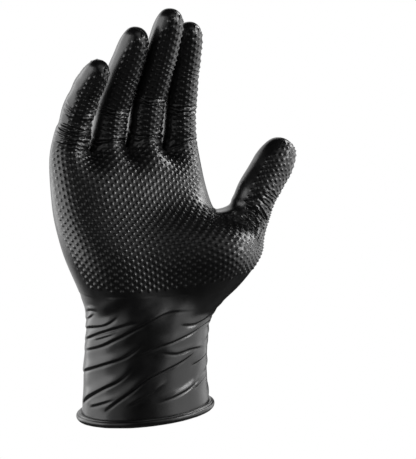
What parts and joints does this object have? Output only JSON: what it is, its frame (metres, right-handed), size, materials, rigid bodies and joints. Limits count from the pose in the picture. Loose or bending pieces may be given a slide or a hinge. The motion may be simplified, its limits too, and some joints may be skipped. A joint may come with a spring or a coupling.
{
  "type": "textured nitrile glove",
  "caption": "Black disposable nitrile glove with raised diamond texture and beaded cuff, in its worn shape, open at the cuff and jointed at wrist, fingers and thumb.",
  "frame": {"origin": "centre of the cuff opening, in the plane of the rolled bead", "axes": "+Z from the cuff to the fingertips, -Y out of the palm, +X to the thumb side"},
  "size_m": [0.1366, 0.0683, 0.2221],
  "materials": {
    "film": "satin black nitrile film, raised diamond studs on palm, back and finger pads, plain on the cuff",
    "bead": "smooth satin black roll of the same film"
  },
  "bodies": {
    "cuff": {"cuff_bead": "bead", "cuff_film": "film", "wrist_band": "film"},
    "palm": {"palm_film": "film", "little_base_crease": "film", "ring_base_crease": "film", "middle_base_crease": "film", "index_base_crease": "film", "thumb_base_crease": "film"},
    "little_lower_segment": {"little_lower": "film", "little_middle_crease": "film"},
    "little_middle_segment": {"little_middle": "film", "little_tip_crease": "film"},
    "little_tip_segment": {"little_tip": "film"},
    "ring_lower_segment": {"ring_lower": "film", "ring_middle_crease": "film"},
    "ring_middle_segment": {"ring_middle": "film", "ring_tip_crease": "film"},
    "ring_tip_segment": {"ring_tip": "film"},
    "middle_lower_segment": {"middle_lower": "film", "middle_middle_crease": "film"},
    "middle_middle_segment": {"middle_middle": "film", "middle_tip_crease": "film"},
    "middle_tip_segment": {"middle_tip": "film"},
    "index_lower_segment": {"index_lower": "film", "index_middle_crease": "film"},
    "index_middle_segment": {"index_middle": "film", "index_tip_crease": "film"},
    "index_tip_segment": {"index_tip": "film"},
    "thumb_lower_segment": {"thumb_lower": "film", "thumb_tip_crease": "film"},
    "thumb_tip_segment": {"thumb_tip": "film"}
  },
  "joints": [
    {"name": "wrist_bend", "type": "hinge", "parent": "cuff", "child": "palm", "pos_m": [0, 0, 0.052], "axis": [1, 0, 0], "range_deg": [-35, 40], "stiffness_Nm_per_rad": 0.3, "deforming": ["wrist_band"]},
    {"name": "little_base_bend", "type": "hinge", "parent": "palm", "child": "little_lower_segment", "pos_m": [-0.03643, 0.01687, 0.14227], "axis": [0.9936, 0, -0.1132], "range_deg": [-32, 38], "stiffness_Nm_per_rad": 0.012, "deforming": ["little_base_crease"]},
    {"name": "little_middle_bend", "type": "hinge", "parent": "little_lower_segment", "child": "little_middle_segment", "pos_m": [-0.03421, 0.01038, 0.16177], "axis": [0.9936, 0, -0.1132], "range_deg": [-19, 61], "stiffness_Nm_per_rad": 0.008, "deforming": ["little_middle_crease"]},
    {"name": "little_tip_bend", "type": "hinge", "parent": "little_middle_segment", "child": "little_tip_segment", "pos_m": [-0.03278, 0.00066, 0.17436], "axis": [0.9936, 0, -0.1132], "range_deg": [-12, 33], "stiffness_Nm_per_rad": 0.006, "deforming": ["little_tip_crease"]},
    {"name": "ring_base_bend", "type": "hinge", "parent": "palm", "child": "ring_lower_segment", "pos_m": [-0.01319, 0.01978, 0.14349], "axis": [0.9973, 0, -0.0732], "range_deg": [-26, 44], "stiffness_Nm_per_rad": 0.012, "deforming": ["ring_base_crease"]},
    {"name": "ring_middle_bend", "type": "hinge", "parent": "ring_lower_segment", "child": "ring_middle_segment", "pos_m": [-0.01164, 0.01504, 0.16453], "axis": [0.9973, 0, -0.0732], "range_deg": [-20, 60], "stiffness_Nm_per_rad": 0.008, "deforming": ["ring_middle_crease"]},
    {"name": "ring_tip_bend", "type": "hinge", "parent": "ring_middle_segment", "child": "ring_tip_segment", "pos_m": [-0.01031, 0.00335, 0.18262], "axis": [0.9973, 0, -0.0732], "range_deg": [-2, 43], "stiffness_Nm_per_rad": 0.006, "deforming": ["ring_tip_crease"]},
    {"name": "middle_base_bend", "type": "hinge", "parent": "palm", "child": "middle_lower_segment", "pos_m": [0.00915, 0.02028, 0.14482], "axis": [1, 0, 0], "range_deg": [-30, 40], "stiffness_Nm_per_rad": 0.012, "deforming": ["middle_base_crease"]},
    {"name": "middle_middle_bend", "type": "hinge", "parent": "middle_lower_segment", "child": "middle_middle_segment", "pos_m": [0.00915, 0.01245, 0.17082], "axis": [1, 0, 0], "range_deg": [-18, 62], "stiffness_Nm_per_rad": 0.008, "deforming": ["middle_middle_crease"]},
    {"name": "middle_tip_bend", "type": "hinge", "parent": "middle_middle_segment", "child": "middle_tip_segment", "pos_m": [0.00915, -0.00104, 0.19029], "axis": [1, 0, 0], "range_deg": [0, 47], "stiffness_Nm_per_rad": 0.006, "deforming": ["middle_tip_crease"]},
    {"name": "index_base_bend", "type": "hinge", "parent": "palm", "child": "index_lower_segment", "pos_m": [0.03147, 0.0198, 0.14311], "axis": [0.9981, 0, 0.061], "range_deg": [-23, 47], "stiffness_Nm_per_rad": 0.012, "deforming": ["index_base_crease"]},
    {"name": "index_middle_bend", "type": "hinge", "parent": "index_lower_segment", "child": "index_middle_segment", "pos_m": [0.0301, 0.01594, 0.16554], "axis": [0.9981, 0, 0.061], "range_deg": [-11, 69], "stiffness_Nm_per_rad": 0.008, "deforming": ["index_middle_crease"]},
    {"name": "index_tip_bend", "type": "hinge", "parent": "index_middle_segment", "child": "index_tip_segment", "pos_m": [0.02886, 0.00828, 0.18581], "axis": [0.9981, 0, 0.061], "range_deg": [-5, 40], "stiffness_Nm_per_rad": 0.006, "deforming": ["index_tip_crease"]},
    {"name": "thumb_base_bend", "type": "hinge", "parent": "palm", "child": "thumb_lower_segment", "pos_m": [0.05611, -0.00702, 0.09682], "axis": [0.6877, -0.6386, -0.3453], "range_deg": [-8, 22], "stiffness_Nm_per_rad": 0.015, "deforming": ["thumb_base_crease"]},
    {"name": "thumb_tip_bend", "type": "hinge", "parent": "thumb_lower_segment", "child": "thumb_tip_segment", "pos_m": [0.0648, -0.00901, 0.1178], "axis": [0.6737, -0.6256, -0.3933], "range_deg": [-5, 50], "stiffness_Nm_per_rad": 0.01, "deforming": ["thumb_tip_crease"]}
  ]
}
